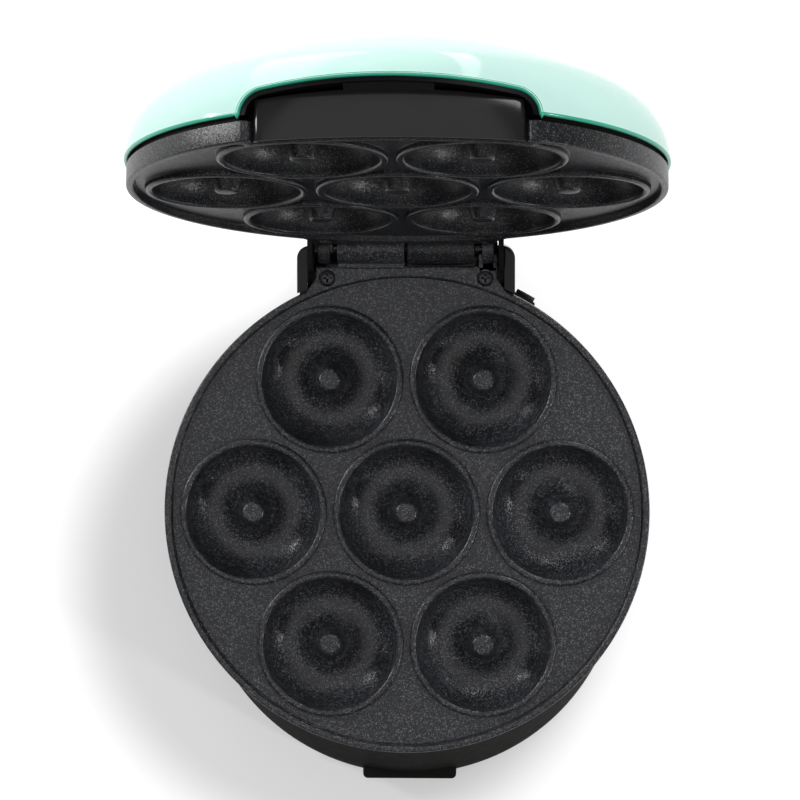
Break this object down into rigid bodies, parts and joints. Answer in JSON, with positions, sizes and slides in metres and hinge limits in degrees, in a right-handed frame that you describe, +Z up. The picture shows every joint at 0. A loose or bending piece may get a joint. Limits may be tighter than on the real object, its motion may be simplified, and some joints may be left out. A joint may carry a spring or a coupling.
{
  "type": "donut maker",
  "caption": "Table-top electric baker with ring-shaped cavities in hinged cast plates, a domed lid with a front grip and a rear hinge pin.",
  "frame": {"origin": "middle of the outline of the opened appliance, on the table under its feet", "axes": "+X to the right of the person at its front, +Y to the rear where the hinge is, +Z up"},
  "size_m": [0.202, 0.309, 0.2545],
  "materials": {
    "aqua_shell": "high gloss, moulded",
    "black_body": "gloss, moulded",
    "grip_black": "satin gloss, moulded",
    "bottom_plastic": "matt, moulded",
    "plate_coating": "cast, dark non-stick coating with fine speckle",
    "screw_steel": "zinc plated",
    "screw_black": "black oxide",
    "pin_steel": "drawn",
    "heater_sheath": "heat-darkened tube",
    "shield_sheet": "rolled sheet",
    "clip_steel": "bent sheet",
    "rivet_aluminium": "plain",
    "thermostat_body": "moulded phenolic",
    "fuse_case": "plain",
    "terminal_plastic": "moulded",
    "gland_rubber": "matt",
    "foot_rubber": "matt",
    "lamp_lens": "clear tinted",
    "lamp_body": "clear"
  },
  "bodies": {
    "base": {"base_housing": "black_body", "bottom_cover": "bottom_plastic", "bottom_screws": "screw_steel", "rubber_feet": "foot_rubber", "lower_plate": "plate_coating", "flange_screws": "screw_black", "plate_screws": "screw_steel", "lower_heater": "heater_sheath", "lower_heat_shield": "shield_sheet", "lower_shield_screws": "screw_steel", "thermostat": "thermostat_body", "thermostat_rivets": "rivet_aluminium", "thermal_fuse": "fuse_case", "fuse_clip": "clip_steel", "terminal_block": "terminal_plastic", "terminal_screw": "screw_steel", "cord_gland": "gland_rubber", "hinge_pin": "pin_steel"},
    "lid": {"lid_cover": "aqua_shell", "lid_liner": "black_body", "cover_screws": "screw_steel", "lid_handle": "grip_black", "handle_screws": "screw_steel", "upper_plate": "plate_coating", "upper_flange_screws": "screw_black", "upper_plate_screws": "screw_steel", "upper_heater": "heater_sheath", "upper_heat_shield": "shield_sheet", "upper_shield_screws": "screw_steel", "indicator_lens": "lamp_lens", "indicator_lamp": "lamp_body"}
  },
  "joints": [
    {"name": "lid_hinge", "type": "hinge", "parent": "base", "child": "lid", "pos_m": [0, 0.07549, 0.055], "axis": [1, 0, 0], "range_deg": [0, 101.5]}
  ]
}
